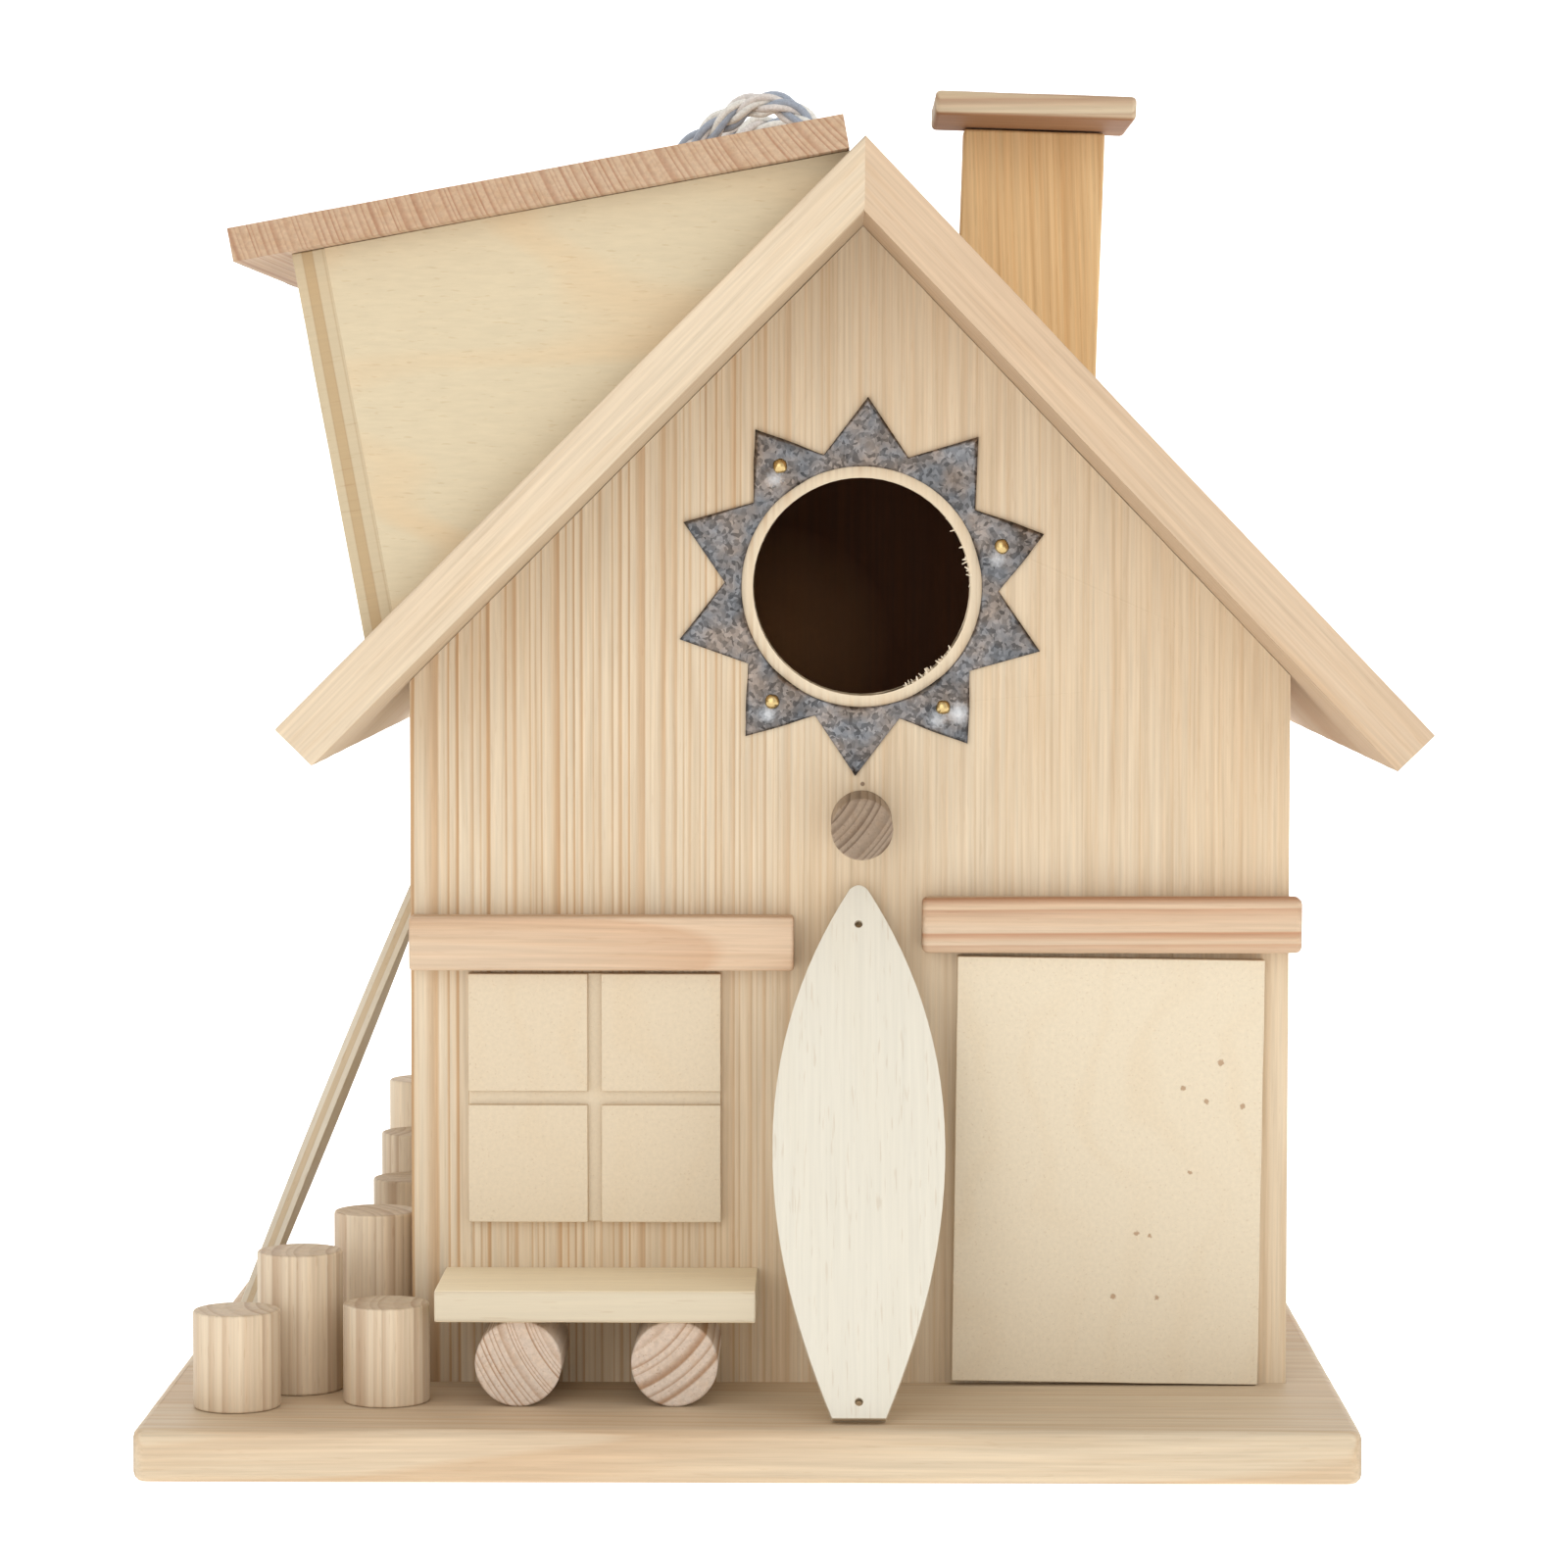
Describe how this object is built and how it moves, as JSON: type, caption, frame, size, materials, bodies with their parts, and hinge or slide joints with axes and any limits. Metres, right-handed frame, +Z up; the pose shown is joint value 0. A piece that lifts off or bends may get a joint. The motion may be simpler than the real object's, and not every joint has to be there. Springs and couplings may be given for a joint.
{
  "type": "bird house",
  "caption": "Wooden bird house in the shape of a beach cottage, with a gabled roof, a shed dormer, a chimney, a metal sun plate round its entrance and toy boards.",
  "frame": {"origin": "centre of the bounding box at the underside of the base board", "axes": "+Z up, front wall with the entrance faces -Y, +X to the right seen from the front"},
  "size_m": [0.2154, 0.1834, 0.2362],
  "materials": {
    "pine_board": "bare sanded softwood, vertical grain",
    "rosy_pine": "bare reddish softwood",
    "golden_pine": "bare golden-brown softwood",
    "plywood": "bare thin plywood",
    "dowel_wood": "bare turned hardwood dowel",
    "galvanised_sheet": "weathered galvanised sheet, spangled",
    "brass_nail": "bright dimpled heads",
    "steel_nail": "plain wire nails",
    "rope": "twisted cord of cream and grey-blue strands"
  },
  "bodies": {
    "house": {"base_board": "pine_board", "front_wall": "pine_board", "back_wall": "pine_board", "left_wall": "pine_board", "right_wall": "pine_board", "roof_board_left": "pine_board", "roof_board_right": "pine_board", "dormer_roof": "rosy_pine", "dormer_outer_board": "plywood", "dormer_cheek_front": "plywood", "dormer_cheek_back": "plywood", "chimney_stack": "golden_pine", "chimney_cap": "pine_board", "sun_plate": "galvanised_sheet", "perch_dowel": "dowel_wood", "window_header": "rosy_pine", "garage_header": "rosy_pine", "window_panel": "plywood", "garage_door": "plywood", "skateboard_deck": "plywood", "surfboard_front": "plywood", "surfboard_side": "plywood", "cleanout_screw": "steel_nail", "hanging_rope": "rope", "rope_knot_1": "rope", "rope_knot_2": "rope", "skateboard_wheel_1": "dowel_wood", "skateboard_wheel_2": "dowel_wood", "log_1": "dowel_wood", "log_2": "dowel_wood", "log_3": "dowel_wood", "log_4": "dowel_wood", "log_5": "dowel_wood", "log_6": "dowel_wood", "log_7": "dowel_wood", "sun_plate_nail_1": "brass_nail", "roof_brad_1": "steel_nail", "dormer_brad_1": "steel_nail", "sun_plate_nail_2": "brass_nail", "roof_brad_2": "steel_nail", "dormer_brad_2": "steel_nail", "sun_plate_nail_3": "brass_nail", "roof_brad_3": "steel_nail", "dormer_brad_3": "steel_nail", "sun_plate_nail_4": "brass_nail", "roof_brad_4": "steel_nail", "dormer_brad_4": "steel_nail"},
    "cleanout_cover": {"cleanout_cover": "plywood"}
  },
  "joints": [
    {"name": "cleanout_cover_swing", "type": "hinge", "parent": "house", "child": "cleanout_cover", "pos_m": [0.01145, 0.0804, 0.084], "axis": [0, -1, 0], "continuous": true}
  ]
}
